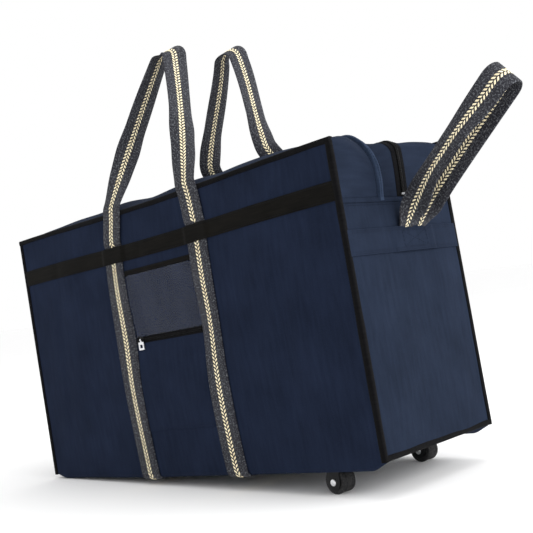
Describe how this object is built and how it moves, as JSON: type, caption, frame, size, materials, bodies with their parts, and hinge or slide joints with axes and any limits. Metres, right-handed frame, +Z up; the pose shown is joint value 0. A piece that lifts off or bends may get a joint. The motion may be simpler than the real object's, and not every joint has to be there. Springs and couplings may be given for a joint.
{
  "type": "wheeled shopping trolley bag",
  "caption": "Soft box-shaped shopping trolley bag with end wheels, carry handles, an end pull loop, a zipped top and a zipped front pocket.",
  "frame": {"origin": "on the floor under the middle of the whole outline, with the bag standing on its two wheels and the left edge of its bottom", "axes": "+X along the bag from the edge it rests on towards the wheeled end with the pull loop, +Y from the pocket panel to the back panel, +Z up"},
  "size_m": [0.8898, 0.2608, 0.672],
  "materials": {
    "navy_canvas": "plain woven canvas",
    "binding_tape": "ribbed tape",
    "black_webbing": "woven webbing",
    "striped_webbing": "woven webbing with a cream centre stripe",
    "zip_tape": "zip tape and coil",
    "clear_vinyl": "clear vinyl film",
    "zip_metal": "plated zinc",
    "pull_metal": "plated zinc",
    "fibre_board": "hard fibre board",
    "black_steel": "black powder coat",
    "bright_steel": "bright plated steel",
    "wheel_plastic": "moulded plastic",
    "tyre": "moulded tread"
  },
  "bodies": {
    "bag": {"front_panel": "navy_canvas", "back_panel": "navy_canvas", "bottom_panel": "navy_canvas", "base_board": "fibre_board", "right_end_panel": "navy_canvas", "left_end_panel": "navy_canvas", "right_gusset_front": "navy_canvas", "right_gusset_rear": "navy_canvas", "right_zip_end": "zip_tape", "left_gusset_front": "navy_canvas", "left_gusset_rear": "navy_canvas", "left_zip_end": "zip_tape", "zip_stops": "zip_metal", "front_top_binding": "binding_tape", "front_right_binding": "binding_tape", "front_left_binding": "binding_tape", "back_top_binding": "binding_tape", "back_right_binding": "binding_tape", "back_left_binding": "binding_tape", "right_bottom_binding": "binding_tape", "left_bottom_binding": "binding_tape", "front_strap_left": "striped_webbing", "front_strap_right": "striped_webbing", "rear_strap_left": "striped_webbing", "rear_strap_right": "striped_webbing", "under_strap_left": "striped_webbing", "under_strap_right": "striped_webbing", "front_band": "black_webbing", "rear_band": "black_webbing", "pull_loop_anchor": "striped_webbing", "right_end_band": "navy_canvas", "pocket_cloth": "navy_canvas", "pocket_window": "clear_vinyl", "window_tape": "binding_tape", "pocket_zip": "zip_tape", "front_wheel_bracket": "black_steel", "front_axle": "bright_steel", "front_backing_plate": "black_steel", "rear_wheel_bracket": "black_steel", "rear_axle": "bright_steel", "rear_backing_plate": "black_steel", "bracket_rivets": "bright_steel"},
    "front_wheel": {"front_hub": "wheel_plastic", "front_tyre": "tyre"},
    "rear_wheel": {"rear_hub": "wheel_plastic", "rear_tyre": "tyre"},
    "zip_slider": {"main_slider": "zip_metal"},
    "zip_pull": {"main_pull_tab": "zip_metal"},
    "pocket_zip_slider": {"pocket_slider": "pull_metal"},
    "pocket_zip_pull": {"pocket_pull_tab": "pull_metal"},
    "front_flap": {"top_front_flap": "navy_canvas", "front_zip_tape": "zip_tape", "front_zip_coil": "zip_tape", "top_ridge": "navy_canvas"},
    "rear_flap": {"top_rear_flap": "navy_canvas", "rear_zip_tape": "zip_tape", "rear_zip_coil": "zip_tape"},
    "front_carry_handle": {"front_handle": "striped_webbing"},
    "rear_carry_handle": {"rear_handle": "striped_webbing"},
    "end_pull_loop": {"pull_loop": "striped_webbing"}
  },
  "joints": [
    {"name": "front_wheel_spin", "type": "hinge", "parent": "bag", "child": "front_wheel", "pos_m": [0.17946, -0.0956, 0.016], "axis": [0, 1, 0], "continuous": true},
    {"name": "rear_wheel_spin", "type": "hinge", "parent": "bag", "child": "rear_wheel", "pos_m": [0.17946, 0.0958, 0.016], "axis": [0, 1, 0], "continuous": true},
    {"name": "zip_slide", "type": "slide", "parent": "bag", "child": "zip_slider", "axis": [0.9983, 0, 0.0584], "range_m": [0, 0.644]},
    {"name": "zip_pull_swing", "type": "hinge", "parent": "zip_slider", "child": "zip_pull", "pos_m": [-0.41676, 0.0111, 0.41304], "axis": [0, -1, 0], "range_deg": [0, 150]},
    {"name": "pocket_zip_slide", "type": "slide", "parent": "bag", "child": "pocket_zip_slider", "axis": [0.9983, 0, 0.0584], "range_m": [0, 0.126]},
    {"name": "pocket_pull_swing", "type": "hinge", "parent": "pocket_zip_slider", "child": "pocket_zip_pull", "pos_m": [-0.14602, -0.1289, 0.22013], "axis": [-0.9983, 0, -0.0584], "range_deg": [0, 90]},
    {"name": "front_flap_fold", "type": "hinge", "parent": "bag", "child": "front_flap", "pos_m": [-0.09488, -0.1184, 0.42447], "axis": [-0.9983, 0, -0.0584], "range_deg": [0, 80]},
    {"name": "rear_flap_fold", "type": "hinge", "parent": "bag", "child": "rear_flap", "pos_m": [-0.09488, 0.1186, 0.42447], "axis": [0.9983, 0, 0.0584], "range_deg": [0, 80]},
    {"name": "front_handle_fold", "type": "hinge", "parent": "bag", "child": "front_carry_handle", "pos_m": [-0.09194, -0.12895, 0.37426], "axis": [0.9983, 0, 0.0584], "range_deg": [0, 165]},
    {"name": "rear_handle_fold", "type": "hinge", "parent": "bag", "child": "rear_carry_handle", "pos_m": [-0.09194, 0.12915, 0.37426], "axis": [-0.9983, 0, -0.0584], "range_deg": [0, 165]},
    {"name": "pull_loop_swing", "type": "hinge", "parent": "bag", "child": "end_pull_loop", "pos_m": [0.26545, 0.0121, 0.32936], "axis": [0, 1, 0], "range_deg": [-8, 105]}
  ]
}
